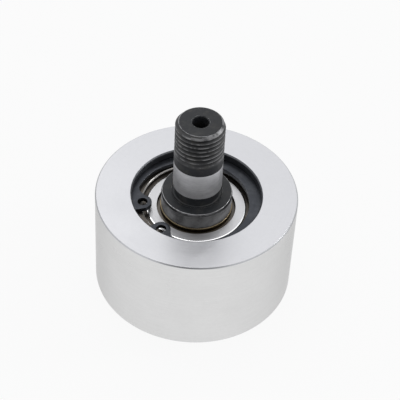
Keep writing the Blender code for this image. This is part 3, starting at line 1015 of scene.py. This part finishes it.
def journal_corners():
    """The journal that the inner races sit on, down to the retaining ring's groove and the foot."""
    groove_low, groove_high = STUD_GROOVE
    return [
        (JOURNAL_RADIUS, SHOULDER_FOOT, 0.05, SHANK),
        (JOURNAL_RADIUS, groove_high, 0.03, BLACK),
        (STUD_GROOVE_RADIUS, groove_high, 0.05, BLACK),
        (STUD_GROOVE_RADIUS, groove_low, 0.05, BLACK),
        (JOURNAL_RADIUS, groove_low, 0.03, BLACK),
        (JOURNAL_RADIUS, STUD_FOOT + FOOT_CHAMFER, 0.1, BLACK),
        (JOURNAL_RADIUS - FOOT_CHAMFER, STUD_FOOT, 0.1, BLACK),
    ]


def socket_corners():
    """The socket while it is still round, with the shallow cone of its drilled bottom."""
    bottom = STUD_FOOT + SOCKET_DEPTH
    return [
        (SOCKET_FLAT_RADIUS + SOCKET_CHAMFER, STUD_FOOT, 0.0, BLACK),
        (SOCKET_FLAT_RADIUS, STUD_FOOT + SOCKET_CHAMFER, 0.0, BLACK),
        (SOCKET_FLAT_RADIUS, bottom, 0.0, BLACK),
        (2.6, bottom, 0.0, BLACK),
        (0.0, bottom + 0.7, 0.0, BLACK),
    ]


def make_stud():
    corners = (
        end_hole_corners()
        + threaded_end_corners()
        + shoulder_corners()
        + journal_corners()
        + socket_corners()
    )
    bm = turned_bmesh(corners, closed=False)
    add_thread(bm, THREAD_LOW, THREAD_HIGH)
    make_socket_hexagonal(bm)
    materials = [BLACK_OXIDE, BLACK_THREAD, GROUND_SHANK, WORN_CHAMFER, SHOULDER_SIDE]
    new_piece("stud", to_mesh(bm, "stud"), materials)


# Studio

def make_floor():
    """A plain pale floor that glows, and that takes a little of the light for a faint shadow."""
    bm = bmesh.new()
    bmesh.ops.create_circle(bm, cap_ends=True, radius=3.0, segments=64)
    floor = bpy.data.objects.new("floor", to_mesh(bm, "floor"))
    bpy.context.scene.collection.objects.link(floor)
    material = bpy.data.materials.new("pale_floor")
    material.use_nodes = True
    tree = material.node_tree
    tree.nodes.clear()
    glow = add_node(tree, "ShaderNodeEmission", {"Color": rgba((BACKDROP,) * 3), "Strength": 1.0})
    matt = add_node(tree, "ShaderNodeBsdfDiffuse", {"Color": rgba((0.8, 0.8, 0.8))})
    both = add_node(tree, "ShaderNodeMixShader", {0: 0.06, 1: glow.outputs[0], 2: matt.outputs[0]})
    output = add_node(tree, "ShaderNodeOutputMaterial", {"Surface": both.outputs[0]})
    output.is_active_output = True
    floor.data.materials.append(material)


def make_world():
    """A soft white studio that is bright overhead and dimmer round the camera.

    The camera itself sees a plain pale backdrop instead.
    """
    world = bpy.data.worlds.new("studio")
    bpy.context.scene.world = world
    world.use_nodes = True
    tree = world.node_tree
    tree.nodes.clear()
    direction = add_node(tree, "ShaderNodeTexCoord").outputs["Generated"]
    parts = add_node(tree, "ShaderNodeSeparateXYZ", {0: direction}).outputs
    overhead = map_range(tree, parts["Z"], 0.0, 1.0, 0.92, 1.28)
    # Low down, the room is darker to the left and the right, which gives the bright steel its form.
    sideways = math_node(tree, "MULTIPLY", parts["X"], parts["X"])
    low_down = map_range(tree, parts["Z"], 0.0, 0.4, 0.4, 0.0)
    gap = math_node(tree, "MULTIPLY", sideways, low_down)
    overhead = math_node(tree, "MULTIPLY", overhead, math_node(tree, "SUBTRACT", 1.0, gap))
    # A dark spot round the camera leaves a soft reflection on the front of the roller's end face.
    to_camera = (0.0, -math.cos(DARK_SPOT_ELEVATION), math.sin(DARK_SPOT_ELEVATION))
    facing = add_node(tree, "ShaderNodeVectorMath", {0: direction, 1: to_camera}, operation="DOT_PRODUCT")
    dim = map_range(tree, facing.outputs["Value"], 0.80, 0.99, 0.0, 0.75)
    kept = math_node(tree, "SUBTRACT", 1.0, dim)
    level = math_node(tree, "MULTIPLY", overhead, kept)
    light = add_node(tree, "ShaderNodeBackground", {"Color": rgba((0.985, 0.99, 1.0)), "Strength": level})
    backdrop = add_node(tree, "ShaderNodeBackground", {"Color": rgba((BACKDROP,) * 3), "Strength": 1.0})
    seen = add_node(tree, "ShaderNodeLightPath").outputs["Is Camera Ray"]
    both = add_node(tree, "ShaderNodeMixShader", {0: seen, 1: light.outputs[0], 2: backdrop.outputs[0]})
    add_node(tree, "ShaderNodeOutputWorld", {"Surface": both.outputs[0]})


def make_light(name, location, size, energy):
    """A round soft light that faces the follower."""
    data = bpy.data.lights.new(name, "AREA")
    data.shape = "DISK"
    data.size = size
    data.energy = energy
    light = bpy.data.objects.new(name, data)
    light.location = location
    light.rotation_euler = Vector(location).to_track_quat("Z", "Y").to_euler()
    bpy.context.scene.collection.objects.link(light)


def make_camera():
    """The photo's view: from 45 degrees above, a little rolled, so that the stud leans to the right."""
    target = Vector((0.877, -2.350, 27.5)) * MM
    azimuth = math.radians(-0.205)
    elevation = math.radians(45.253)
    distance = 348.09 * MM
    roll = math.radians(3.355)
    back = Vector((
        math.sin(azimuth) * math.cos(elevation),
        -math.cos(azimuth) * math.cos(elevation),
        math.sin(elevation),
    ))
    data = bpy.data.cameras.new("camera")
    data.lens = 128.05
    data.sensor_width = 36.0
    data.clip_start = 0.01
    camera = bpy.data.objects.new("camera", data)
    camera.location = target + back * distance
    aim = (-back).to_track_quat("-Z", "Y").to_matrix().to_4x4()
    camera.rotation_euler = (aim @ Matrix.Rotation(roll, 4, "Z")).to_euler()
    bpy.context.scene.collection.objects.link(camera)
    bpy.context.scene.camera = camera


make_roller()
make_stud()
make_bearing("lower_bearing", -1)
make_bearing("upper_bearing", 1)
make_spacer("outer_spacer", OUTER_LIP_RADIUS, BEARING_OUTER_RADIUS)
make_spacer("inner_spacer", BEARING_BORE_RADIUS, INNER_RIM_RADIUS)
make_roller_ring("lower_circlip")
make_roller_ring("upper_circlip")
make_stud_ring()

make_floor()
make_world()
make_light("softbox", (-0.15, 0.3, 0.6), 0.5, 0.5)
make_light("side_light", (0.5, 0.12, 0.35), 0.12, 0.5)
make_camera()
bpy.context.scene.view_settings.view_transform = "Standard"

bpy.context.view_layer.update()
